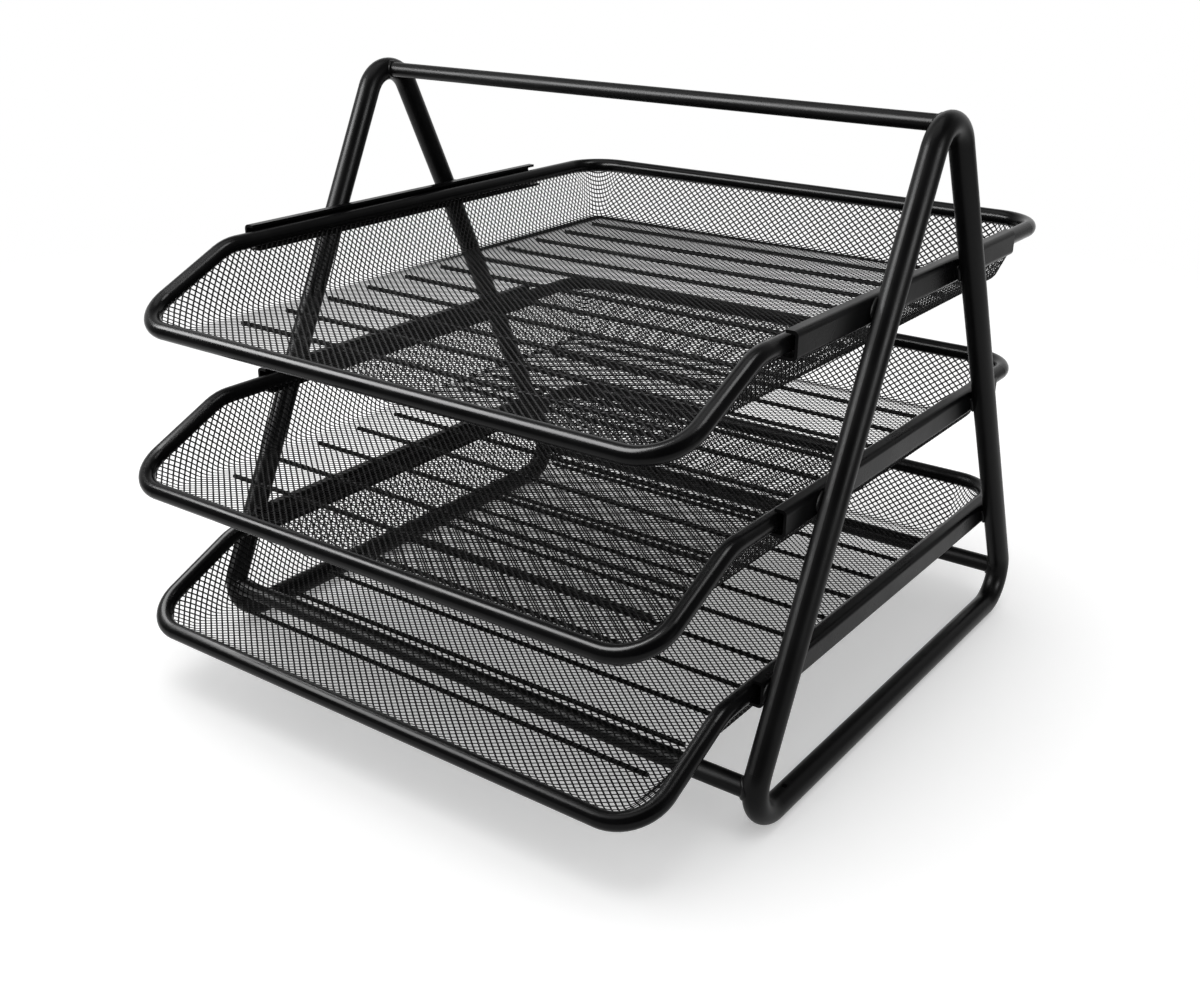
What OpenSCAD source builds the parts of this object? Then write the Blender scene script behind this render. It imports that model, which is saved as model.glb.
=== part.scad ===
// Three-tier sliding letter tray: wire-rimmed mesh baskets that slide in
// folded rails between two bent-tube side frames with a carry handle.
// Millimetres, +Z up, +Y to the back. The origin is on the desk, under the
// middle of the space that the trays take up.

/* [Trays] */
// Outside width of a tray across its rim
tray_w = 266; // [230:1:330]
// Outside length of a tray from its front lip to its back rim
tray_l = 320; // [300:1:380]
// Height from one tray to the next
tray_pitch = 65; // [54:1:72]
// Diameter of the rim tube
rim_d = 7; // [5:0.5:9]
// Bend radius of the rim at its back corners, on the centre line
rim_back_r = 20; // [17:1:30]
// Bend radius of the rim at its front corners, on the centre line
rim_front_r = 18; // [12:1:30]
// Bend radius where the side rim turns down towards the front
rim_dip_r = 25; // [15:1:40]
// How far the front lip lies below the side rim
lip_drop = 23; // [14:1:24]
// Length over which the side rim falls to the front lip
lip_run = 50; // [40:1:50]
// How far a pushed-in tray's middle stands in front of the side frames' middle
tray_forward = 7.5; // [7.5:0.5:30]
// How far the middle and bottom trays are pulled out of their rails
lower_pull = 12; // [0:1:60]

/* [Mesh baskets] */
// Depth from the rim's centre line to the underside of the floor
basket_depth = 26; // [25:1:34]
// How far each wall leans in between rim and floor
wall_lean_in = 8.5; // [4:0.5:10]
// Thickness of the expanded mesh sheet
mesh_t = 0.8; // [0.5:0.1:1.2]
// Outside radius between wall and floor
floor_edge_r = 6; // [3:0.5:7]
// Width of the mesh ledge between the front wall and the front lip
lip_ledge = 1.5; // [1:0.5:4]
// Number of openings across a floor, which stand for the fine mesh
opening_count = 12; // [6:1:12]
// Width of the sheet that is left between openings
mesh_bar = 4.5; // [3:0.5:7]

/* [Floor wires] */
// Diameter of the stiffening wires under a floor
wire_d = 2; // [1.5:0.1:3]
// Number of wires under one floor
wire_count = 11; // [6:1:16]
// Distance of the rearmost wire from the back edge of the floor
wire_back_margin = 12; // [11:1:40]
// Distance of the foremost wire from the front edge of the floor
wire_front_margin = 26; // [8:1:40]
// Distance of the wire ends from the side edges of the floor
wire_side_margin = 5; // [4:1:40]

/* [Side frames] */
// Diameter of the side frame tube
frame_tube_d = 10; // [8:0.5:14]
// Height of the side frames
frame_h = 250; // [240:1:300]
// Distance between a frame's front and rear corners, before they are rounded
foot_spread = 254; // [230:1:300]
// Bend radius at the top of a frame, on the centre line
apex_r = 14; // [10:1:20]
// Bend radius at the bottom corners, on the centre line
foot_r = 15; // [11:1:22]
// Diameter of the vent hole in the top of each base tube
vent_d = 2.4; // [1.5:0.1:4]
// Distance of the vent hole behind the frame's front corner
vent_setback = 32; // [28:1:60]

/* [Cross members] */
// Diameter of the carry handle
handle_d = 6.5; // [5:0.5:8]
// Diameter of the front and rear crossbars
crossbar_d = 8; // [5:0.5:9]

/* [Rails] */
// Length of the top and middle rails
upper_rail_l = 196; // [160:1:216]
// Length of the bottom rails, which reach from leg to leg
bottom_rail_l = 214; // [210:1:216]
// Thickness of the rail's sheet
rail_sheet = 1.2; // [0.8:0.1:2]
// Outside bend radius of the rail's folds
rail_fold_r = 2; // [2:0.1:2.4]
// How far the top flange reaches in over the rim
rail_over_reach = 2; // [1:0.5:6]
// How far the bottom flange reaches in past the rim's centre line
rail_under_reach = 2; // [0:0.1:2.5]

/* [Clearances] */
// Room between the rim and the rail's web on each side
rim_side_gap = 1.8; // [0.6:0.1:3]
// Room above the rim in its rail
rim_top_gap = 1; // [0.6:0.1:4]
// Running gap between the rim and the flange that carries it
rim_under_gap = 0.3; // [0.3:0.05:0.8]
// Room between the bottom tray's wires and the crossbars
crossbar_gap = 0.5; // [0.5:0.5:8]
// Weld thickness between joined pieces
weld_gap = 0.1; // [0.05:0.05:0.2]

/* [Hidden] */
$fn = 48;
steel_black = [0.07, 0.07, 0.075];
mesh_black = [0.12, 0.12, 0.125];
rail_black = [0.1, 0.1, 0.105];
wire_black = [0.05, 0.05, 0.05];
arc_steps = 5;
// Swelling of a tube in its bends, and the length over which it begins
bend_swell = 0.02;
bend_lap = 0.2;

// Rim: the loop that the side rails carry
rim_r = rim_d / 2;
rim_x = tray_w / 2 - rim_r;
rim_y = tray_l / 2 - rim_r;
dip_y = lip_run - rim_y;
lip_angle = atan(lip_drop / lip_run);
lip_slope_l = norm([lip_run, lip_drop]);
rim_points = [
    [-rim_x, rim_y, 0], [rim_x, rim_y, 0], [rim_x, dip_y, 0],
    [rim_x, -rim_y, -lip_drop], [-rim_x, -rim_y, -lip_drop], [-rim_x, dip_y, 0]
];
rim_radii = [rim_back_r, rim_back_r, rim_dip_r, rim_front_r, rim_front_r, rim_dip_r];

// Basket: its wall lies against the inside of the rim and leans in to the floor
lean = atan(wall_lean_in / basket_depth);
rim_seat = rim_r + weld_gap;
wall_seat = rim_seat / cos(lean);
corner_r = rim_back_r - wall_seat;
core_x = rim_x - rim_back_r;
core_back = rim_y - rim_back_r;
core_front = core_back + wall_lean_in * lip_drop / basket_depth - lip_ledge;
edge_z = floor_edge_r - basket_depth;
edge_u = wall_u(edge_z) - floor_edge_r / cos(lean);
floor_half_w = core_x + edge_u;
floor_back = core_back + edge_u;
floor_front = core_front + edge_u;
room = tray_l;

// Floor wires
wire_z = -basket_depth - weld_gap - wire_d / 2;
wire_l = 2 * (floor_half_w - wire_side_margin);
wire_first = floor_back - wire_back_margin;
wire_pitch = (floor_back + floor_front - wire_back_margin - wire_front_margin) / (wire_count - 1);

// Openings of the mesh: a column edge every share of the floor's width, a row edge at every wire and end
column_pitch = 2 * floor_half_w / opening_count;
column_edges = [for (i = [0 : opening_count]) i * column_pitch - floor_half_w];
row_edges = concat([floor_back], [for (i = [0 : wire_count - 1]) wire_first - i * wire_pitch], [-floor_front]);
wall_open_top = -rim_r - mesh_bar / 2;

// Side frames: a closed triangle of tube standing on the desk
frame_x = tray_w / 2 + rim_side_gap + rail_sheet + frame_tube_d / 2;
foot_z = frame_tube_d / 2;
apex_z = frame_h - frame_tube_d / 2;
half_spread = foot_spread / 2;
frame_y = tray_forward + lower_pull / 2;
apex_half = apex_half_angle(apex_z - foot_z - apex_r);
peak_z = apex_z - apex_r + apex_r / sin(apex_half);
frame_points = [
    [0, frame_y - half_spread, foot_z],
    [0, frame_y + half_spread, foot_z],
    [0, frame_y, peak_z]
];
frame_radii = [foot_r, foot_r, apex_r];
foot_angle = 90 - apex_half;
foot_bend_y = half_spread - foot_r / tan(foot_angle / 2);
crossbar_y = foot_bend_y + foot_r;
crossbar_z = foot_z + foot_r;

// Tiers: the bottom tray just clears the crossbars
bottom_z = crossbar_z + crossbar_d / 2 + crossbar_gap + wire_d + weld_gap + basket_depth;

// Rails
rail_x = frame_x - frame_tube_d / 2;
rail_top = rim_r + rim_top_gap + rail_sheet;
rail_bottom = -rim_r - rim_under_gap - rail_sheet;
rail_top_in = tray_w / 2 - rail_over_reach;
rail_bottom_in = rim_x - rail_under_reach;

function unit(v) = v / norm(v);

// Half the angle at a frame's peak, with the bend's centre a given height above the feet
function apex_half_angle(centre_h) =
    atan(half_spread / centre_h) - asin(apex_r / norm([half_spread, centre_h]));

// Distance of the wall's outer face from the corner's centre, at height z
function wall_u(z) = corner_r + z * tan(lean);

// Arc from floor to wall, with radius r about the edge's centre
function edge_arc(r) = [
    for (i = [0 : arc_steps])
        let (a = -90 + (90 - lean) * i / arc_steps)
        [edge_u + r * cos(a), edge_z + r * sin(a)]
];

function reversed(list) = [for (i = [len(list) - 1 : -1 : 0]) list[i]];

// Section through the floor's edge and the wall, as folded mesh
wall_section = concat(
    [[0, -basket_depth]],
    edge_arc(floor_edge_r),
    [[wall_u(0), 0], [wall_u(0) - mesh_t / cos(lean), 0]],
    reversed(edge_arc(floor_edge_r - mesh_t)),
    [[0, mesh_t - basket_depth]]
);

// The space inside the middle of the mesh's thickness, reaching above the rim
half_t = mesh_t / 2;
filled_section = concat(
    [[0, half_t - basket_depth]],
    edge_arc(floor_edge_r - half_t),
    [[wall_u(rim_d) - half_t / cos(lean), rim_d], [0, rim_d]]
);

// Length of straight tube that a bend takes up at a corner of a loop
function bend_take(a, b, c, r) =
    let (turn = acos(unit(b - a) * unit(c - b)))
    r * tan(turn / 2);

// Places children at a point, with their X, Y and Z along three unit vectors
module set_along(p, x, y, z) {
    multmatrix([
        [x.x, y.x, z.x, p.x],
        [x.y, y.y, z.y, p.y],
        [x.z, y.z, z.z, p.z]
    ])
        children();
}

// Direction from a corner of a loop to the centre of its bend, square to the tube coming in
function bend_inward(a, b, c) =
    let (u = unit(b - a), v = unit(c - b))
    unit(v - (u * v) * u);

module tube_bend(a, b, c, r, d) {
    u = unit(b - a);
    v = unit(c - b);
    inward = bend_inward(a, b, c);
    set_along(b - bend_take(a, b, c, r) * u + r * inward, -inward, u, cross(-inward, u))
        rotate_extrude(angle = acos(u * v))
            translate([r, 0])
                circle(d = d + 2 * bend_swell);
}

// Closed loop of round tube through points, bent to a radius at each
module tube_loop(points, radii, d) {
    n = len(points);
    take = [
        for (i = [0 : n - 1])
            bend_take(points[(i + n - 1) % n], points[i], points[(i + 1) % n], radii[i])
    ];
    for (i = [0 : n - 1]) {
        a = points[(i + n - 1) % n];
        b = points[i];
        c = points[(i + 1) % n];
        v = unit(b - a);
        x = -bend_inward(a, b, c);
        tube_bend(a, b, c, radii[i], d);
        start = take[(i + n - 1) % n] - bend_lap;
        set_along(a + start * v, x, cross(v, x), v)
            cylinder(h = norm(b - a) - start - take[i] + bend_lap, d = d);
    }
}

// One bend of a side frame, at full size plus the weld's thickness
module frame_bend(side, i) {
    n = len(frame_points);
    translate([side * frame_x, 0, 0])
        tube_bend(frame_points[(i + n - 1) % n], frame_points[i], frame_points[(i + 1) % n],
            frame_radii[i], frame_tube_d + 2 * weld_gap);
}

module side_frame(side) {
    vent_y = frame_y - half_spread + vent_setback;
    color(steel_black)
        difference() {
            translate([side * frame_x, 0, 0])
                tube_loop(frame_points, frame_radii, frame_tube_d);
            translate([side * frame_x, vent_y, foot_z])
                cylinder(h = frame_tube_d, d = vent_d);
        }
}

// Straight tube across the stand, with its ends shaped to the frames' bends
module cross_tube(y, z, d, bend) {
    color(steel_black)
        difference() {
            translate([-frame_x, y, z])
                rotate([0, 90, 0])
                    cylinder(h = 2 * frame_x, d = d);
            frame_bend(-1, bend);
            frame_bend(1, bend);
            for (side = [-1, 1])
                translate([side * (frame_x + frame_tube_d / 2), y, z])
                    cube([frame_tube_d, 2 * frame_tube_d, 2 * frame_tube_d], center = true);
        }
}

// Quarter of a folded corner, bulging towards +X and +Y
module fold_section() {
    intersection() {
        difference() {
            circle(r = rail_fold_r);
            circle(r = rail_fold_r - rail_sheet);
        }
        square(rail_fold_r);
    }
}

// Section of the right rail: web against the frame, flanges over and under the rim
module rail_section() {
    fold_x = rail_x - rail_fold_r;
    translate([rail_x - rail_sheet, rail_bottom + rail_fold_r])
        square([rail_sheet, rail_top - rail_bottom - 2 * rail_fold_r]);
    translate([rail_top_in, rail_top - rail_sheet])
        square([fold_x - rail_top_in, rail_sheet]);
    translate([rail_bottom_in, rail_bottom])
        square([fold_x - rail_bottom_in, rail_sheet]);
    translate([fold_x, rail_top - rail_fold_r])
        fold_section();
    translate([fold_x, rail_bottom + rail_fold_r])
        mirror([0, 1])
            fold_section();
}

module rail(length) {
    color(rail_black)
        translate([0, frame_y + length / 2, 0])
            rotate([90, 0, 0])
                linear_extrude(height = length)
                    rail_section();
}

module tray_rim() {
    color(steel_black)
        tube_loop(rim_points, rim_radii, rim_d);
}

// Sweeps a wall section round the basket's sides and corners
module swept_wall(section) {
    for (side = [0, 1])
        mirror([side, 0, 0]) {
            translate([core_x, core_back, 0])
                rotate([90, 0, 0])
                    linear_extrude(height = core_back + core_front)
                        polygon(section);
            translate([core_x, core_back, 0])
                rotate_extrude(angle = 90)
                    polygon(section);
            translate([core_x, -core_front, 0])
                mirror([0, 1, 0])
                    rotate_extrude(angle = 90)
                        polygon(section);
        }
    translate([-core_x, core_back, 0])
        rotate([90, 0, 90])
            linear_extrude(height = 2 * core_x)
                polygon(section);
    translate([-core_x, -core_front, 0])
        mirror([0, 1, 0])
            rotate([90, 0, 90])
                linear_extrude(height = 2 * core_x)
                    polygon(section);
}

module basket_core(z, h) {
    translate([-core_x, -core_front, z])
        cube([2 * core_x, core_back + core_front, h]);
}

// Places children on the plane that the front of the rim lies in
module on_lip_plane() {
    translate([0, dip_y, 0])
        rotate([lip_angle, 0, 0])
            children();
}

// Outline of the mesh inside the sloping part of the rim
module lip_outline() {
    half_w = rim_x - rim_seat;
    reach = lip_slope_l - rim_seat;
    r = rim_front_r - rim_seat;
    translate([r - half_w, -reach])
        square([2 * (half_w - r), reach]);
    for (side = [-1, 1]) {
        translate([side > 0 ? half_w - r : -half_w, r - reach])
            square([r, reach - r]);
        translate([side * (half_w - r), r - reach])
            intersection() {
                circle(r = r);
                translate([side > 0 ? 0 : -r, -r])
                    square(r);
            }
    }
}

// Mesh turned out to the rim along the sloping front
module lip_flange() {
    difference() {
        on_lip_plane()
            translate([0, 0, -half_t])
                linear_extrude(height = mesh_t)
                    lip_outline();
        union() {
            swept_wall(filled_section);
            basket_core(half_t - basket_depth, basket_depth - half_t + rim_d);
        }
    }
}

// Box between two corners
module box_between(a, b) {
    translate(a)
        cube(b - a);
}

// Openings in the floor, with the wires under the bars between their rows
module floor_openings() {
    for (i = [0 : len(row_edges) - 2])
        for (j = [0 : opening_count - 1])
            box_between(
                [column_edges[j] + mesh_bar / 2, row_edges[i + 1] + mesh_bar / 2, -basket_depth - mesh_t],
                [column_edges[j + 1] - mesh_bar / 2, row_edges[i] - mesh_bar / 2, 2 * mesh_t - basket_depth]
            );
}

// Openings in the side walls behind the dip of the rim, in line with the floor's rows
module side_openings() {
    for (i = [0 : len(row_edges) - 2])
        if (row_edges[i + 1] > dip_y)
            box_between(
                [-rim_x, row_edges[i + 1] + mesh_bar / 2, edge_z],
                [rim_x, min(row_edges[i], core_back) - mesh_bar / 2, wall_open_top]
            );
}

// Openings in the back wall, in line with the floor's columns
module back_openings() {
    for (j = [0 : opening_count - 1])
        box_between(
            [max(column_edges[j], -core_x) + mesh_bar / 2, core_back, edge_z],
            [min(column_edges[j + 1], core_x) - mesh_bar / 2, rim_y, wall_open_top]
        );
}

module tray_basket() {
    color(mesh_black)
        difference() {
            union() {
                difference() {
                    union() {
                        swept_wall(wall_section);
                        basket_core(-basket_depth, mesh_t);
                    }
                    on_lip_plane()
                        translate([-room, -room, half_t])
                            cube([2 * room, room, room]);
                }
                lip_flange();
            }
            floor_openings();
            side_openings();
            back_openings();
        }
}

module tray_wires() {
    color(wire_black)
        for (i = [0 : wire_count - 1])
            translate([-wire_l / 2, wire_first - i * wire_pitch, wire_z])
                rotate([0, 90, 0])
                    cylinder(h = wire_l, d = wire_d);
}

// Places children at the rim's height on a tier, counted from 0 at the bottom
module at_tier(tier) {
    translate([0, 0, bottom_z + tier * tray_pitch])
        children();
}

// Places a tray's piece in its rails, pulled out by a length
module in_rails(tier, pull) {
    translate([0, lower_pull / 2 - pull, 0])
        at_tier(tier)
            children();
}

module left() {
    mirror([1, 0, 0])
        children();
}

module left_side_frame() side_frame(-1);
module right_side_frame() side_frame(1);
module carry_handle() cross_tube(frame_y, apex_z, handle_d, 2);
module front_crossbar() cross_tube(frame_y - crossbar_y, crossbar_z, crossbar_d, 0);
module rear_crossbar() cross_tube(frame_y + crossbar_y, crossbar_z, crossbar_d, 1);
module top_left_rail() at_tier(2) left() rail(upper_rail_l);
module top_right_rail() at_tier(2) rail(upper_rail_l);
module middle_left_rail() at_tier(1) left() rail(upper_rail_l);
module middle_right_rail() at_tier(1) rail(upper_rail_l);
module bottom_left_rail() at_tier(0) left() rail(bottom_rail_l);
module bottom_right_rail() at_tier(0) rail(bottom_rail_l);
module top_tray_rim() in_rails(2, 0) tray_rim();
module top_tray_basket() in_rails(2, 0) tray_basket();
module top_tray_wires() in_rails(2, 0) tray_wires();
module middle_tray_rim() in_rails(1, lower_pull) tray_rim();
module middle_tray_basket() in_rails(1, lower_pull) tray_basket();
module middle_tray_wires() in_rails(1, lower_pull) tray_wires();
module bottom_tray_rim() in_rails(0, lower_pull) tray_rim();
module bottom_tray_basket() in_rails(0, lower_pull) tray_basket();
module bottom_tray_wires() in_rails(0, lower_pull) tray_wires();

left_side_frame();
right_side_frame();
carry_handle();
front_crossbar();
rear_crossbar();
top_left_rail();
top_right_rail();
middle_left_rail();
middle_right_rail();
bottom_left_rail();
bottom_right_rail();
top_tray_rim();
top_tray_basket();
top_tray_wires();
middle_tray_rim();
middle_tray_basket();
middle_tray_wires();
bottom_tray_rim();
bottom_tray_basket();
bottom_tray_wires();
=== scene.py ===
import math

import bmesh
import bpy
from bpy.props import FloatProperty, FloatVectorProperty, PointerProperty
from mathutils import Matrix, Vector


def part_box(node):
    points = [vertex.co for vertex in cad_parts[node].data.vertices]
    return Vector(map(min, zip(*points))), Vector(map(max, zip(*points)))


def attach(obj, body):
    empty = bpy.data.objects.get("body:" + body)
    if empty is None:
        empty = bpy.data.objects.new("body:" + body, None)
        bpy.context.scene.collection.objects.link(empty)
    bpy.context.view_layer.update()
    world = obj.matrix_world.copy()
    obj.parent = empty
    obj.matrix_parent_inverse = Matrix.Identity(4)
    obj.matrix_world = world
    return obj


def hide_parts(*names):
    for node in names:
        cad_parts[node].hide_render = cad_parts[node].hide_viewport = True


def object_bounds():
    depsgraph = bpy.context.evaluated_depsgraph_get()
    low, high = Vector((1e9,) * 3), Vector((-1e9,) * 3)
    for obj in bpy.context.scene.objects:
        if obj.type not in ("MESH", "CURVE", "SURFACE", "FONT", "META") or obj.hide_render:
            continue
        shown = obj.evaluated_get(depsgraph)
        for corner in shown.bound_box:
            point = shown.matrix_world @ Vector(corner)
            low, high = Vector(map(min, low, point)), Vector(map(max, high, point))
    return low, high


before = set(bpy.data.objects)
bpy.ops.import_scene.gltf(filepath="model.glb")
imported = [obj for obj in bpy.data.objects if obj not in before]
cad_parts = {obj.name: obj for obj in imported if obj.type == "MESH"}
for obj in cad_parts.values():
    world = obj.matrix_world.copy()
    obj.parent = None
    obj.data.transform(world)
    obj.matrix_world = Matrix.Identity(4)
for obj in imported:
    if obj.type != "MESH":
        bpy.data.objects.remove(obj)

bl_info = {
    "name": "Mesh Letter Tray",
    "version": (1, 0, 0),
    "blender": (4, 5, 0),
    "location": "3D View > Sidebar > Letter Tray",
    "description": "Dresses a three-tier sliding letter tray in expanded mesh and black powder coat",
    "category": "Object",
}

CAD_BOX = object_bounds()
MM = 0.001
TIERS = ("top", "middle", "bottom")
TRAYS = tuple(tier + "_tray" for tier in TIERS)
SIDES = ("left", "right")

# Side frames: height at which the legs' centre lines meet, and how far a leg leans out per height
LEG_PEAK = 262.67 * MM
LEG_SPREAD = 0.493

# Weld beads: radius of the ring round a rod's end; half sizes of a seam, its distance from the
# leg's centre line and how far its middle lies outside the tube's inner face
RING_BEAD = 0.9 * MM
SEAM_BEAD = (1.3 * MM, 1.5 * MM, 4 * MM)
SEAM_OFF = 3 * MM
SEAM_OUT = 0.6 * MM

# Pan in plan: radii of the rim's back and front corners, distance from the front lip to the flat
# core, and from the core to where the floor curls up
BACK_BEND = 20 * MM
FRONT_BEND = 18 * MM
FRONT_BAND = 13.98 * MM
CURL_OUT = 3.36 * MM

# Half the length of the curve in which a side rim starts to dip
DIP_EASE = 5.2 * MM

# Where the sheet meets the rim: degrees below level, how many fewer at the front lip, depth as a
# share of the tube's radius, and how far a cell may run past it
GRIP_ANGLE = 35
GRIP_FALL = 27
GRIP_DEPTH = 0.94
GRIP_LAP = 1.5 * MM

# Strands that stand up at the fold: place and width of the band, and the length over which it fades
STAND_PLACE = 1 * MM
STAND_WIDTH = 3.5 * MM
STAND_FADE = 120 * MM

# How far the flat sheet reaches past the rim, to the sides and to front and back
SHEET_SPARE = (20 * MM, 24 * MM)

# Powder coat: clouds and specks per metre, the span of each noise that is used, what it does to
# the colour, what the clouds add to the roughness, and the relief of specks and orange peel
CLOUD_SCALE = 38.0
CLOUD_SPAN = (0.3, 0.7)
CLOUD_TONE = (0.82, 1.2)
CLOUD_DULL = (-0.05, 0.06)
SPECKLE_SCALE = 2600
SPECKLE_SPAN = (0.35, 0.75)
SPECKLE_TONE = (0.85, 1.35)
SPECKLE_RELIEF = 0.35
PEEL_DEPTH = 0.05 * MM

# Paper floor: radius, gap below the tray, the distances between which it fades out, and its glow
PAPER_RADIUS = 1
PAPER_GAP = 0.2 * MM
PAPER_FADE = (0.35, 0.95)
PAPER_GLOW = 0.32

# Strength of the world's light on rough surfaces
SKY_LIGHT = 0.66


class PanSettings(bpy.types.PropertyGroup):
    """Expanded mesh sheet and the pan that it is folded into."""

    cell_across: FloatProperty(
        name="Cell across", description="Width of a mesh cell, from side to side of the tray",
        default=3.7 * MM, min=2 * MM, max=8 * MM, unit="LENGTH")
    cell_along: FloatProperty(
        name="Cell along", description="Length of a mesh cell, from front to back of the tray",
        default=3.0 * MM, min=2 * MM, max=8 * MM, unit="LENGTH")
    strand: FloatProperty(
        name="Strand", description="Width of the strands between the cells",
        default=0.72 * MM, min=0.3 * MM, max=1.5 * MM, unit="LENGTH")
    sheet: FloatProperty(
        name="Sheet", description="Thickness of the strands",
        default=0.38 * MM, min=0.1 * MM, max=1.0 * MM, unit="LENGTH")
    fold_stand: FloatProperty(
        name="Fold stand",
        description="How much more the strands stand up along the fold of floor and back wall",
        default=1.2, min=0, max=4)
    depth: FloatProperty(
        name="Depth", description="From the rim's centre line to the middle of the floor's sheet",
        default=25.6 * MM, min=10 * MM, max=40 * MM, unit="LENGTH")
    edge_radius: FloatProperty(
        name="Floor edge radius", description="Radius between floor and wall",
        default=5.6 * MM, min=2 * MM, max=12 * MM, unit="LENGTH")
    rim_radius: FloatProperty(
        name="Rim radius", description="Radius of the rim tube that the sheet is welded to",
        default=3.5 * MM, min=2 * MM, max=6 * MM, unit="LENGTH")
    lip_drop: FloatProperty(
        name="Lip drop", description="How far the front lip lies below the side rim",
        default=23 * MM, min=5 * MM, max=30 * MM, unit="LENGTH")
    lip_run: FloatProperty(
        name="Lip run", description="Length over which the side rim falls to the front lip",
        default=50 * MM, min=20 * MM, max=80 * MM, unit="LENGTH")


class CoatSettings(bpy.types.PropertyGroup):
    """Black powder coat on the steel."""

    tube_black: FloatVectorProperty(
        name="Tube black", description="Colour of the coat on tubes and rims",
        default=(0.0022, 0.0022, 0.0024), size=3, min=0, max=1, subtype="COLOR")
    rail_black: FloatVectorProperty(
        name="Rail black", description="Colour of the coat on the folded rails",
        default=(0.0022, 0.0022, 0.0024), size=3, min=0, max=1, subtype="COLOR")
    mesh_black: FloatVectorProperty(
        name="Mesh black", description="Colour of the coat on the expanded mesh and its wires",
        default=(0.002, 0.002, 0.0022), size=3, min=0, max=1, subtype="COLOR")
    satin: FloatProperty(
        name="Satin", description="Roughness of the coat",
        default=0.25, min=0.1, max=1, subtype="FACTOR")


class StudioSettings(bpy.types.PropertyGroup):
    """Camera and floor."""

    camera_place: FloatVectorProperty(
        name="Camera place", description="Where the camera stands",
        default=(0.345426, -0.487957, 0.319131), size=3, subtype="TRANSLATION", unit="LENGTH")
    camera_turn: FloatProperty(
        name="Camera turn", description="Angle of the view round the tray from straight in front",
        default=math.radians(35.693), subtype="ANGLE", unit="ROTATION")
    camera_dip: FloatProperty(
        name="Camera dip", description="Angle of the view below the horizon",
        default=math.radians(23.111), subtype="ANGLE", unit="ROTATION")
    camera_roll: FloatProperty(
        name="Camera roll", description="Tilt of the picture",
        default=math.radians(0.521), subtype="ANGLE", unit="ROTATION")
    camera_lens: FloatProperty(
        name="Lens", description="Focal length on a 36 mm wide frame",
        default=42.1805, min=10, max=200, unit="CAMERA")
    floor_white: FloatVectorProperty(
        name="Floor white", description="Colour of the paper floor",
        default=(0.86, 0.86, 0.86), size=3, min=0, max=1, subtype="COLOR")


def pan_plan(pan):
    """Sizes of a pan in plan, about the middle of its rim, read from the frame's rim."""
    low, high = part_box("top_tray_rim")
    half_w = (high.x - low.x) / 2 - pan.rim_radius
    half_l = (high.y - low.y) / 2 - pan.rim_radius
    tilt = math.atan2(pan.lip_drop, pan.lip_run)
    return {
        "half_w": half_w,
        "half_l": half_l,
        "core_x": half_w - BACK_BEND,
        "core_back": half_l - BACK_BEND,
        "core_front": half_l - FRONT_BAND,
        "dip": pan.lip_run - half_l,
        "slope": math.tan(tilt),
        "front_bend": (FRONT_BEND, FRONT_BEND * math.cos(tilt)),
    }


def rim_height(plan, y):
    """Height of the rim's centre line at a place along a side, where it dips to the front lip."""
    past = plan["dip"] + DIP_EASE - y
    if past <= 0:
        return 0.0
    if past < 2 * DIP_EASE:
        return -plan["slope"] * past * past / (4 * DIP_EASE)
    return -plan["slope"] * (past - DIP_EASE)


def rim_reach(plan, core, out):
    """Distance from the pan's flat core to the rim's centre line along a direction in plan."""
    if out.y >= 0:
        return BACK_BEND
    front = plan["half_l"] - plan["core_front"]
    bend_x, bend_y = plan["front_bend"]
    start_x = abs(core.x) - (plan["half_w"] - bend_x)
    start_y = plan["half_l"] - bend_y - plan["core_front"]
    straight = front / -out.y
    if start_x + straight * abs(out.x) <= 0:
        return straight
    a = (out.x / bend_x) ** 2 + (out.y / bend_y) ** 2
    b = start_x * abs(out.x) / bend_x ** 2 + start_y * out.y / bend_y ** 2
    c = (start_x / bend_x) ** 2 + (start_y / bend_y) ** 2 - 1
    return (-b + math.sqrt(b * b - a * c)) / a


def folded(pan, plan, flat):
    """Where a point of the flat sheet lies in the folded pan, and how far it runs past the rim's skin.

    The point's height over the flat sheet is kept square to the folded one, and is larger at the
    fold, where the strands stand up. For a point of the floor, the second value is minus infinity.
    """
    core = Vector((
        max(-plan["core_x"], min(plan["core_x"], flat.x)),
        max(-plan["core_front"], min(plan["core_back"], flat.y)),
    ))
    out = Vector((flat.x, flat.y)) - core
    spread = out.length
    inside = min(plan["core_x"] - abs(core.x), plan["core_back"] - core.y, plan["core_front"] + core.y)
    run = spread - inside - CURL_OUT
    back = max(0.0, min(1.0, 0.5 + core.y / STAND_FADE))
    rise = flat.z * (1 + back * pan.fold_stand * math.exp(-((run - STAND_PLACE) / STAND_WIDTH) ** 2))
    if run <= 0:
        return Vector((flat.x, flat.y, rise - pan.depth)), -math.inf
    out /= spread
    reach = rim_reach(plan, core, out)
    height = rim_height(plan, core.y + out.y * reach)
    grip = math.radians(GRIP_ANGLE + GRIP_FALL * height / pan.lip_drop)
    across = reach - GRIP_DEPTH * pan.rim_radius * math.cos(grip) - CURL_OUT
    up = height - GRIP_DEPTH * pan.rim_radius * math.sin(grip) + pan.depth - pan.edge_radius
    far = math.hypot(across, up)
    turn = math.atan2(up, across) - math.acos(pan.edge_radius / far) + math.pi / 2
    arc = pan.edge_radius * turn
    wall = math.sqrt(far * far - pan.edge_radius ** 2)
    bent = min(run, arc)
    curl = bent / pan.edge_radius
    u = CURL_OUT + pan.edge_radius * math.sin(curl)
    z = -pan.depth + pan.edge_radius * (1 - math.cos(curl))
    u += (run - bent) * math.cos(turn) - rise * math.sin(curl)
    z += (run - bent) * math.sin(turn) + rise * math.cos(curl)
    return Vector((core.x + out.x * u, core.y + out.y * u, z)), run - arc - wall


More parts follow.
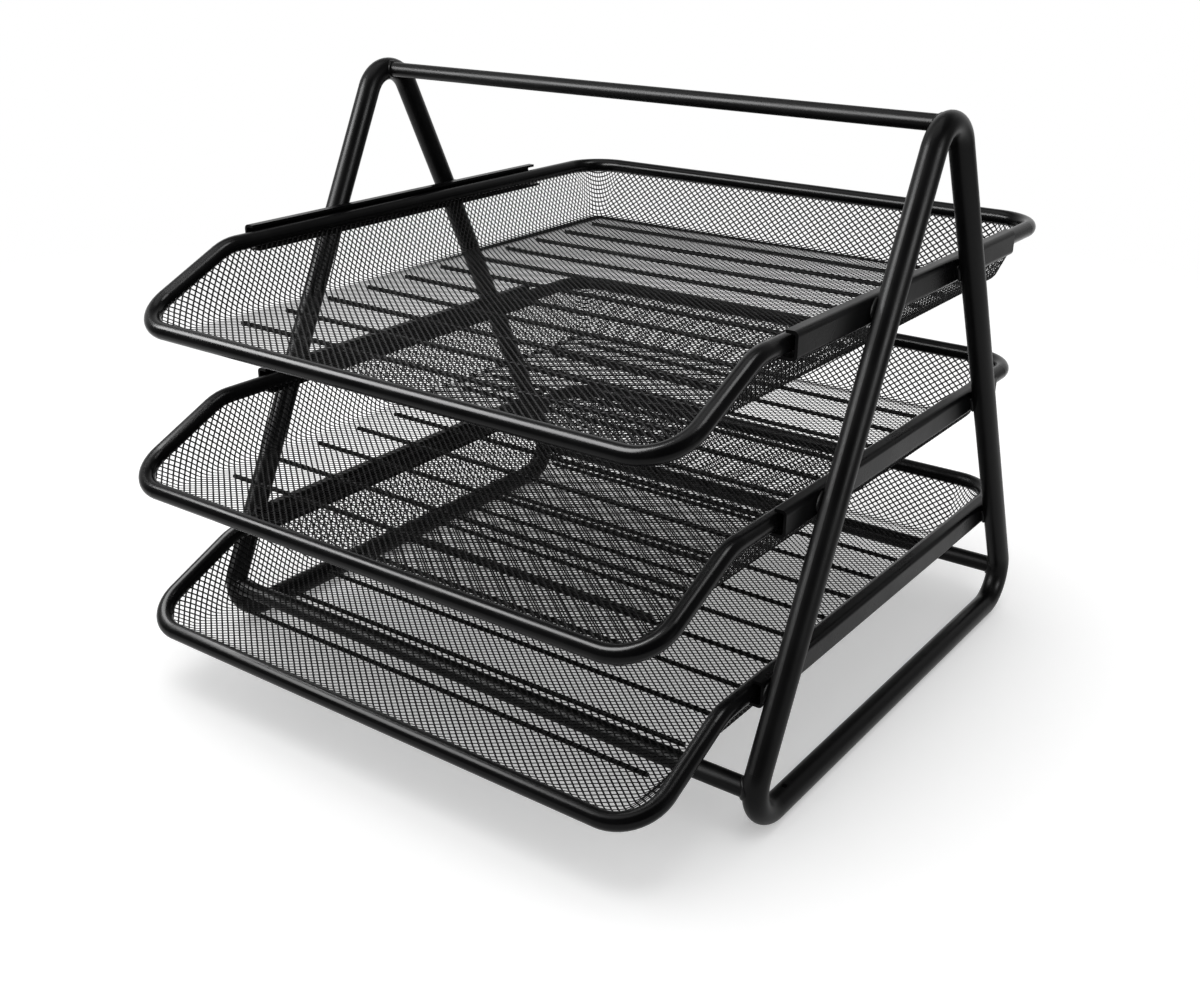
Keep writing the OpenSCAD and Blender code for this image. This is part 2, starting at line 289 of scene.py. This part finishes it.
def pan_mesh(pan):
    """Expanded mesh folded into a pan, about the middle of its rim, with its walls on material 1."""
    plan = pan_plan(pan)
    spare_x, spare_y = SHEET_SPARE
    reach_x = plan["half_w"] + spare_x
    reach_y = plan["half_l"] + spare_y
    count = 2 * math.ceil(reach_x / pan.cell_across + reach_y / pan.cell_along)
    bm = bmesh.new()
    bmesh.ops.create_grid(bm, x_segments=count, y_segments=count, size=1)
    side = max(v.co.x for v in bm.verts) - min(v.co.x for v in bm.verts)
    unit = count / side / math.sqrt(2)
    bmesh.ops.rotate(bm, verts=bm.verts[:], cent=(0, 0, 0), matrix=Matrix.Rotation(math.pi / 4, 3, "Z"))
    bmesh.ops.scale(bm, verts=bm.verts[:], vec=(unit * pan.cell_across, unit * pan.cell_along, 1))
    spare = []
    for face in bm.faces:
        past = folded(pan, plan, face.calc_center_median())[1]
        if past > GRIP_LAP:
            spare.append(face)
        face.material_index = int(past > -math.inf)
        face.smooth = True
    bmesh.ops.delete(bm, geom=spare, context="FACES")
    bm.normal_update()
    bmesh.ops.wireframe(
        bm, faces=bm.faces[:], thickness=pan.strand, offset=0, use_replace=True,
        use_boundary=True, use_even_offset=True)
    bmesh.ops.scale(bm, verts=bm.verts[:], vec=(1, 1, pan.sheet / pan.strand))
    for vert in bm.verts:
        vert.co = folded(pan, plan, vert.co)[0]
    bm.normal_update()
    return bm


def part_of_pan(bm, wall):
    """The floor or the walls of a pan, with the cut between them closed."""
    part = bm.copy()
    spare = [f for f in part.faces if (f.material_index == 1) != wall]
    bmesh.ops.delete(part, geom=spare, context="FACES")
    for face in part.faces:
        face.material_index = 0
    cut = [e for e in part.edges if e.is_boundary]
    bmesh.ops.bridge_loops(part, edges=cut)
    return part


def new_piece(name, bm, place, body, coat):
    """Makes a finished piece of a bmesh, with its place in its mesh."""
    mesh = bpy.data.meshes.new(name)
    bm.to_mesh(mesh)
    mesh.transform(Matrix.Translation(place))
    mesh.materials.append(coat)
    piece = bpy.data.objects.new(name, mesh)
    bpy.context.scene.collection.objects.link(piece)
    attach(piece, body)
    return piece


def tray_seat(tray, pan):
    """Middle of a tray at the height of its rim's centre line."""
    low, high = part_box(tray + "_rim")
    return Vector(((low.x + high.x) / 2, (low.y + high.y) / 2, high.z - pan.rim_radius))


def feed(tree, socket, value):
    """Links an output to an input socket, or sets the input to a number."""
    if isinstance(value, bpy.types.NodeSocket):
        tree.links.new(value, socket)
    else:
        socket.default_value = value


def math_node(tree, operation, *values, clamp=False):
    """Result of a math node for outputs or numbers."""
    node = tree.nodes.new("ShaderNodeMath")
    node.operation = operation
    node.use_clamp = clamp
    for socket, value in zip(node.inputs, values):
        feed(tree, socket, value)
    return node.outputs["Value"]


def map_range(tree, value, start, end, smooth=False):
    """A value carried over from one range to another."""
    node = tree.nodes.new("ShaderNodeMapRange")
    if smooth:
        node.interpolation_type = "SMOOTHSTEP"
    sockets = ("Value", "From Min", "From Max", "To Min", "To Max")
    for name, given in zip(sockets, (value, *start, *end)):
        feed(tree, node.inputs[name], given)
    return node.outputs["Result"]


def noise(tree, place, scale, detail, roughness):
    """Value of a noise texture at a place."""
    node = tree.nodes.new("ShaderNodeTexNoise")
    sockets = ("Vector", "Scale", "Detail", "Roughness")
    for name, given in zip(sockets, (place, scale, detail, roughness)):
        feed(tree, node.inputs[name], given)
    return node.outputs["Fac"]


def powder_coat_group():
    """Shared powder coat: cloudy tone, fine speckle and orange peel."""
    group = bpy.data.node_groups.get("powder_coat")
    if group:
        return group
    group = bpy.data.node_groups.new("powder_coat", "ShaderNodeTree")
    for name, way, kind in (
            ("Black", "INPUT", "NodeSocketColor"),
            ("Satin", "INPUT", "NodeSocketFloat"),
            ("Peel Scale", "INPUT", "NodeSocketFloat"),
            ("Colour", "OUTPUT", "NodeSocketColor"),
            ("Roughness", "OUTPUT", "NodeSocketFloat"),
            ("Height", "OUTPUT", "NodeSocketFloat")):
        group.interface.new_socket(name=name, in_out=way, socket_type=kind)
    given = group.nodes.new("NodeGroupInput").outputs
    made = group.nodes.new("NodeGroupOutput").inputs
    place = group.nodes.new("ShaderNodeTexCoord").outputs["Object"]
    cloud = noise(group, place, CLOUD_SCALE, detail=3.0, roughness=0.55)
    peel = noise(group, place, given["Peel Scale"], detail=2.0, roughness=0.5)
    speckle = noise(group, place, SPECKLE_SCALE, detail=1.0, roughness=0.6)
    tone = map_range(group, cloud, CLOUD_SPAN, CLOUD_TONE)
    fleck = map_range(group, speckle, SPECKLE_SPAN, SPECKLE_TONE)
    colour = group.nodes.new("ShaderNodeVectorMath")
    colour.operation = "SCALE"
    feed(group, colour.inputs[0], given["Black"])
    feed(group, colour.inputs["Scale"], math_node(group, "MULTIPLY", tone, fleck))
    feed(group, made["Colour"], colour.outputs["Vector"])
    dull = map_range(group, cloud, CLOUD_SPAN, CLOUD_DULL)
    feed(group, made["Roughness"], math_node(group, "ADD", given["Satin"], dull, clamp=True))
    feed(group, made["Height"], math_node(group, "MULTIPLY_ADD", speckle, SPECKLE_RELIEF, peel))
    return group


def coat_material(name, black, satin, peel_scale, bump, gloss=0.1):
    """A black powder coat material, made once for each name."""
    material = bpy.data.materials.get(name)
    if material:
        return material
    material = bpy.data.materials.new(name)
    material.use_nodes = True
    material.diffuse_color = (*black, 1)
    tree = material.node_tree
    shader = tree.nodes["Principled BSDF"]
    shader.inputs["Specular IOR Level"].default_value = gloss
    coat = tree.nodes.new("ShaderNodeGroup")
    coat.node_tree = powder_coat_group()
    coat.inputs["Black"].default_value = (*black, 1)
    coat.inputs["Satin"].default_value = satin
    coat.inputs["Peel Scale"].default_value = peel_scale
    relief = tree.nodes.new("ShaderNodeBump")
    relief.inputs["Strength"].default_value = bump
    relief.inputs["Distance"].default_value = PEEL_DEPTH
    tree.links.new(coat.outputs["Colour"], shader.inputs["Base Color"])
    tree.links.new(coat.outputs["Roughness"], shader.inputs["Roughness"])
    tree.links.new(coat.outputs["Height"], relief.inputs["Height"])
    tree.links.new(relief.outputs["Normal"], shader.inputs["Normal"])
    return material


def tube_material(coat):
    """The coat that the stand's tubes and their welds share."""
    return coat_material(
        "tube_powder_coat", coat.tube_black, coat.satin + 0.1, peel_scale=650, bump=0.15)


def dress(nodes, material):
    """Gives CAD nodes a material."""
    for name in nodes:
        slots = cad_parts[name].material_slots
        if not slots:
            raise RuntimeError(f"{name} has no material slot")
        for slot in slots:
            slot.material = material


class LETTERTRAY_OT_stand_tubes(bpy.types.Operator):
    """Coats the side frames, carry handle and crossbars"""

    bl_idname = "letter_tray.stand_tubes"
    bl_label = "Stand Tubes"

    def execute(self, context):
        frames = [side + "_side_frame" for side in SIDES]
        rods = ["carry_handle", "front_crossbar", "rear_crossbar"]
        dress(frames + rods, tube_material(context.scene.letter_tray_coat))
        return {"FINISHED"}


def weld_ring(bm, rod, side, along):
    """Adds the bead round the end of a rod, where it is welded to a side frame's tube.

    The ring is bent to the tube, which runs along Y under the handle and along Z at the crossbars.
    """
    rod_low, rod_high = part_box(rod)
    middle = (rod_low + rod_high) / 2
    radius = (rod_high.z - rod_low.z) / 2
    frame_low, frame_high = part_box("right_side_frame")
    tube = (frame_high.x - frame_low.x) / 2
    ring = bmesh.ops.create_circle(bm, segments=10, radius=RING_BEAD)["verts"]
    bmesh.ops.translate(bm, verts=ring, vec=(0, radius, 0))
    edges = list(dict.fromkeys(edge for vert in ring for edge in vert.link_edges))
    before = set(bm.verts) - set(ring)
    bmesh.ops.spin(
        bm, geom=ring + edges, cent=(0, 0, 0), axis=(1, 0, 0), angle=2 * math.pi, steps=32, use_merge=True)
    for vert in [vert for vert in bm.verts if vert not in before]:
        off = vert.co.z if along == "Y" else vert.co.y
        bend = tube - math.sqrt(max(0.0, tube * tube - off * off))
        vert.co.x = side * (frame_low.x + bend + vert.co.x)
        vert.co.y += middle.y
        vert.co.z += middle.z


def weld_seam(bm, rail, side, leg, bank):
    """Adds the bead in the nook between a rail's web and the front or back leg that crosses it."""
    rail_low, rail_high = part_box(rail)
    height = (rail_low.z + rail_high.z) / 2
    frame_low, frame_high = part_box("right_side_frame")
    middle = (frame_low.y + frame_high.y) / 2
    lean = Matrix.Rotation(leg * math.atan(LEG_SPREAD), 3, "X")
    reach = (LEG_PEAK - height) * LEG_SPREAD
    place = (side * (frame_low.x + SEAM_OUT), middle + leg * reach, height)
    bead = bmesh.ops.create_uvsphere(bm, u_segments=10, v_segments=8, radius=1)["verts"]
    bmesh.ops.scale(bm, verts=bead, vec=SEAM_BEAD)
    bmesh.ops.translate(bm, verts=bead, vec=(0, bank * SEAM_OFF, 0))
    bmesh.ops.rotate(bm, verts=bead, cent=(0, 0, 0), matrix=lean)
    bmesh.ops.translate(bm, verts=bead, vec=place)


class LETTERTRAY_OT_stand_welds(bpy.types.Operator):
    """Lays weld beads where rods and rails meet the side frames"""

    bl_idname = "letter_tray.stand_welds"
    bl_label = "Stand Welds"

    def execute(self, context):
        material = tube_material(context.scene.letter_tray_coat)
        bm = bmesh.new()
        for side in (-1, 1):
            for rod, along in (("carry_handle", "Y"), ("front_crossbar", "Z"), ("rear_crossbar", "Z")):
                weld_ring(bm, rod, side, along)
            for tier in TIERS:
                for leg in (-1, 1):
                    for bank in (-1, 1):
                        weld_seam(bm, f"{tier}_{SIDES[side > 0]}_rail", side, leg, bank)
        bmesh.ops.recalc_face_normals(bm, faces=bm.faces[:])
        for face in bm.faces:
            face.smooth = True
        new_piece("stand_welds", bm, Vector((0, 0, 0)), "stand", material)
        bm.free()
        return {"FINISHED"}


class LETTERTRAY_OT_slide_rails(bpy.types.Operator):
    """Coats the folded rails"""

    bl_idname = "letter_tray.slide_rails"
    bl_label = "Slide Rails"

    def execute(self, context):
        coat = context.scene.letter_tray_coat
        material = coat_material(
            "rail_powder_coat", coat.rail_black, coat.satin + 0.04, peel_scale=600, bump=0.4, gloss=0.08)
        dress([f"{tier}_{side}_rail" for tier in TIERS for side in SIDES], material)
        return {"FINISHED"}


class LETTERTRAY_OT_tray_rims(bpy.types.Operator):
    """Coats the bent rims of the trays"""

    bl_idname = "letter_tray.tray_rims"
    bl_label = "Tray Rims"

    def execute(self, context):
        coat = context.scene.letter_tray_coat
        material = coat_material(
            "rim_powder_coat", coat.tube_black, coat.satin - 0.02, peel_scale=700, bump=0.2)
        dress([tray + "_rim" for tray in TRAYS], material)
        return {"FINISHED"}


class LETTERTRAY_OT_floor_wires(bpy.types.Operator):
    """Coats the stiffening wires under the floors"""

    bl_idname = "letter_tray.floor_wires"
    bl_label = "Floor Wires"

    def execute(self, context):
        coat = context.scene.letter_tray_coat
        material = coat_material(
            "wire_powder_coat", coat.mesh_black, coat.satin + 0.15, peel_scale=900, bump=0.3, gloss=0.07)
        dress([tray + "_wires" for tray in TRAYS], material)
        return {"FINISHED"}


class LETTERTRAY_OT_mesh_pans(bpy.types.Operator):
    """Folds expanded mesh into a pan for each tray"""

    bl_idname = "letter_tray.mesh_pans"
    bl_label = "Mesh Pans"

    def execute(self, context):
        pan = context.scene.letter_tray_pan
        coat = context.scene.letter_tray_coat
        material = coat_material(
            "mesh_powder_coat", coat.mesh_black, coat.satin + 0.2, peel_scale=1100, bump=0.3, gloss=0.07)
        sheet = pan_mesh(pan)
        for part, wall in (("floor_mesh", False), ("wall_mesh", True)):
            bm = part_of_pan(sheet, wall)
            for tray in TRAYS:
                piece = new_piece(f"{tray}_{part}", bm, tray_seat(tray, pan), tray, material)
                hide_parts(tray + "_basket")
            bm.free()
        sheet.free()
        return {"FINISHED"}


def paper_material(white):
    """White paper that keeps the tray's shadow, glows to the camera and fades out to its edge."""
    material = bpy.data.materials.new("white_paper")
    material.use_nodes = True
    tree = material.node_tree
    shader = tree.nodes["Principled BSDF"]
    shader.inputs["Base Color"].default_value = (*white, 1)
    shader.inputs["Roughness"].default_value = 0.9
    shader.inputs["Specular IOR Level"].default_value = 0.1
    ray = tree.nodes.new("ShaderNodeLightPath").outputs
    seen = math_node(tree, "MAXIMUM", ray["Is Camera Ray"], ray["Is Glossy Ray"])
    shown = math_node(tree, "MAXIMUM", seen, ray["Is Transmission Ray"])
    glow = tree.nodes.new("ShaderNodeEmission")
    feed(tree, glow.inputs["Strength"], math_node(tree, "MULTIPLY", shown, PAPER_GLOW))
    both = tree.nodes.new("ShaderNodeAddShader")
    feed(tree, both.inputs[0], shader.outputs["BSDF"])
    feed(tree, both.inputs[1], glow.outputs["Emission"])
    place = tree.nodes.new("ShaderNodeTexCoord")
    away = tree.nodes.new("ShaderNodeVectorMath")
    away.operation = "LENGTH"
    feed(tree, away.inputs[0], place.outputs["Object"])
    edge = map_range(tree, away.outputs["Value"], PAPER_FADE, (0, 1), smooth=True)
    clear = tree.nodes.new("ShaderNodeBsdfTransparent")
    fade = tree.nodes.new("ShaderNodeMixShader")
    feed(tree, fade.inputs["Fac"], edge)
    feed(tree, fade.inputs[1], both.outputs["Shader"])
    feed(tree, fade.inputs[2], clear.outputs["BSDF"])
    feed(tree, tree.nodes["Material Output"].inputs["Surface"], fade.outputs["Shader"])
    return material


def lay_floor(white):
    """Lays the paper floor under the tray."""
    bm = bmesh.new()
    bmesh.ops.create_circle(bm, cap_ends=True, segments=64, radius=PAPER_RADIUS)
    bmesh.ops.translate(bm, verts=bm.verts[:], vec=(0, 0, CAD_BOX[0].z - PAPER_GAP))
    mesh = bpy.data.meshes.new("paper_floor")
    bm.to_mesh(mesh)
    bm.free()
    mesh.materials.append(paper_material(white))
    floor = bpy.data.objects.new("paper_floor", mesh)
    bpy.context.scene.collection.objects.link(floor)


def light_world():
    """White world that reflections show darker above, in front and to the right."""
    world = bpy.data.worlds.new("white_studio")
    world.use_nodes = True
    bpy.context.scene.world = world
    tree = world.node_tree
    backdrop = tree.nodes["Background"]
    backdrop.inputs["Color"].default_value = (1, 1, 1, 1)
    way = tree.nodes.new("ShaderNodeTexCoord")
    split = tree.nodes.new("ShaderNodeSeparateXYZ")
    feed(tree, split.inputs["Vector"], way.outputs["Generated"])
    above = map_range(tree, split.outputs["Z"], (0.5, 0.75), (1.0, 0.2), smooth=True)
    right = map_range(tree, split.outputs["X"], (0.1, 0.6), (1.0, 0.22), smooth=True)
    front = map_range(tree, split.outputs["Y"], (-0.6, 0.2), (0.15, 1.0), smooth=True)
    room = math_node(tree, "MULTIPLY", math_node(tree, "MULTIPLY", above, right), front)
    ray = tree.nodes.new("ShaderNodeLightPath").outputs
    mirrored = math_node(tree, "MAXIMUM", ray["Is Glossy Ray"], ray["Is Transmission Ray"])
    level = map_range(tree, mirrored, (0, 1), (SKY_LIGHT, room))
    shown = math_node(tree, "MAXIMUM", level, ray["Is Camera Ray"])
    feed(tree, backdrop.inputs["Strength"], shown)


def area_lamp(name, place, target, size, power):
    """A soft rectangular lamp that points at a place."""
    data = bpy.data.lights.new(name, "AREA")
    data.shape = "RECTANGLE"
    data.size, data.size_y = size
    data.energy = power
    lamp = bpy.data.objects.new(name, data)
    lamp.visible_camera = False
    lamp.location = place
    lamp.rotation_euler = (Vector(target) - Vector(place)).to_track_quat("-Z", "Y").to_euler()
    bpy.context.scene.collection.objects.link(lamp)
    return lamp


def shine_lamp(name, place, target, size, power, shadow, lit):
    """A soft lamp that only puts a shine on the named pieces."""
    lamp = area_lamp(name, place, target, size, power)
    lamp.data.use_shadow = shadow
    lamp.visible_diffuse = False
    pieces = bpy.data.collections.new(name + "_lit")
    for piece in lit:
        pieces.objects.link(bpy.data.objects[piece])
    lamp.light_linking.receiver_collection = pieces


def hang_lamps():
    """Hangs the lamp that lights everything, and those that put a shine on some pieces."""
    low_rim = "bottom_tray_rim"
    rims = [tray + "_rim" for tray in TRAYS] + ["carry_handle"]
    high_rims = [name for name in rims if name != low_rim]
    pans = [f"{tray}_{part}" for tray in TRAYS for part in ("floor_mesh", "wall_mesh", "wires")]
    tubes = [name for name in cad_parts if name.endswith("_frame")]
    stand = [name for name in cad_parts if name.endswith(("_frame", "_crossbar", "_rail"))]
    stand.append("stand_welds")
    area_lamp("overhead_softbox", (-0.25, -0.2, 1.5), (0, 0, 0.1), (1.4, 1.4), 12)
    # Name, place, target, size, power in watts, whether it casts shadows, and the lit pieces
    for lamp in (
            ("rim_softbox", (-0.17, -0.216, 0.366), (-0.17, -0.066, 0.196), (0.46, 0.16), 8,
             True, high_rims + pans),
            ("slope_softbox", (0.5, 0.2, 1.25), (0.1, -0.13, 0.15), (0.4, 0.4), 8,
             True, rims),
            ("lip_softbox", (-0.31, -0.2, 0.41), (0, -0.16, 0.03), (0.5, 0.26), 8,
             False, [low_rim]),
            ("leg_softbox", (-0.59, -0.62, 0.6), (0, -0.03, 0.15), (0.4, 0.55), 25,
             False, stand),
            ("flank_softbox", (1.09, -0.17, 0.5), (0.14, -0.03, 0.2), (0.4, 0.3), 9,
             False, tubes),
            ("side_softbox", (1.4, 0.0, 0.3), (0, 0, 0.12), (0.4, 0.6), 0.3,
             True, rims + pans + tubes)):
        shine_lamp(*lamp)


def place_camera(studio):
    """Places the camera as it stood for the photo."""
    data = bpy.data.cameras.new("photo_camera")
    data.sensor_fit = "HORIZONTAL"
    data.sensor_width = 36
    data.lens = studio.camera_lens
    data.clip_start = 0.01
    data.clip_end = 50
    camera = bpy.data.objects.new("photo_camera", data)
    turn = Matrix.Rotation(studio.camera_turn, 3, "Z")
    lift = Matrix.Rotation(math.pi / 2 - studio.camera_dip, 3, "X")
    tilt = Matrix.Rotation(studio.camera_roll, 3, "Z")
    camera.rotation_euler = (turn @ lift @ tilt).to_euler()
    camera.location = studio.camera_place
    bpy.context.scene.collection.objects.link(camera)
    bpy.context.scene.camera = camera


class LETTERTRAY_OT_studio(bpy.types.Operator):
    """Sets up floor, world, lamps and camera"""

    bl_idname = "letter_tray.studio"
    bl_label = "Studio"

    def execute(self, context):
        studio = context.scene.letter_tray_studio
        lay_floor(studio.floor_white)
        light_world()
        hang_lamps()
        place_camera(studio)
        context.scene.view_settings.view_transform = "Standard"
        return {"FINISHED"}


SETTINGS = {
    "letter_tray_pan": PanSettings,
    "letter_tray_coat": CoatSettings,
    "letter_tray_studio": StudioSettings,
}
PIECES = (
    LETTERTRAY_OT_stand_tubes,
    LETTERTRAY_OT_stand_welds,
    LETTERTRAY_OT_slide_rails,
    LETTERTRAY_OT_tray_rims,
    LETTERTRAY_OT_floor_wires,
    LETTERTRAY_OT_mesh_pans,
    LETTERTRAY_OT_studio,
)


class LETTERTRAY_PT_pieces(bpy.types.Panel):
    """Lists the tray's pieces and their settings"""

    bl_label = "Letter Tray"
    bl_idname = "LETTERTRAY_PT_pieces"
    bl_space_type = "VIEW_3D"
    bl_region_type = "UI"
    bl_category = "Letter Tray"

    def draw(self, context):
        for piece in PIECES:
            self.layout.operator(piece.bl_idname)
        for settings in SETTINGS:
            group = getattr(context.scene, settings)
            box = self.layout.box()
            for name in group.__annotations__:
                box.prop(group, name)


CLASSES = (*SETTINGS.values(), *PIECES, LETTERTRAY_PT_pieces)


def register():
    """Adds the settings, operators and panel to Blender."""
    for cls in CLASSES:
        bpy.utils.register_class(cls)
    for name, cls in SETTINGS.items():
        setattr(bpy.types.Scene, name, PointerProperty(type=cls))


def unregister():
    """Takes the settings, operators and panel out of Blender."""
    for name in SETTINGS:
        delattr(bpy.types.Scene, name)
    for cls in reversed(CLASSES):
        bpy.utils.unregister_class(cls)


def main():
    """Makes every piece and the studio."""
    register()
    bpy.ops.letter_tray.stand_tubes()
    bpy.ops.letter_tray.stand_welds()
    bpy.ops.letter_tray.slide_rails()
    bpy.ops.letter_tray.tray_rims()
    bpy.ops.letter_tray.floor_wires()
    bpy.ops.letter_tray.mesh_pans()
    bpy.ops.letter_tray.studio()


if __name__ == "__main__":
    main()
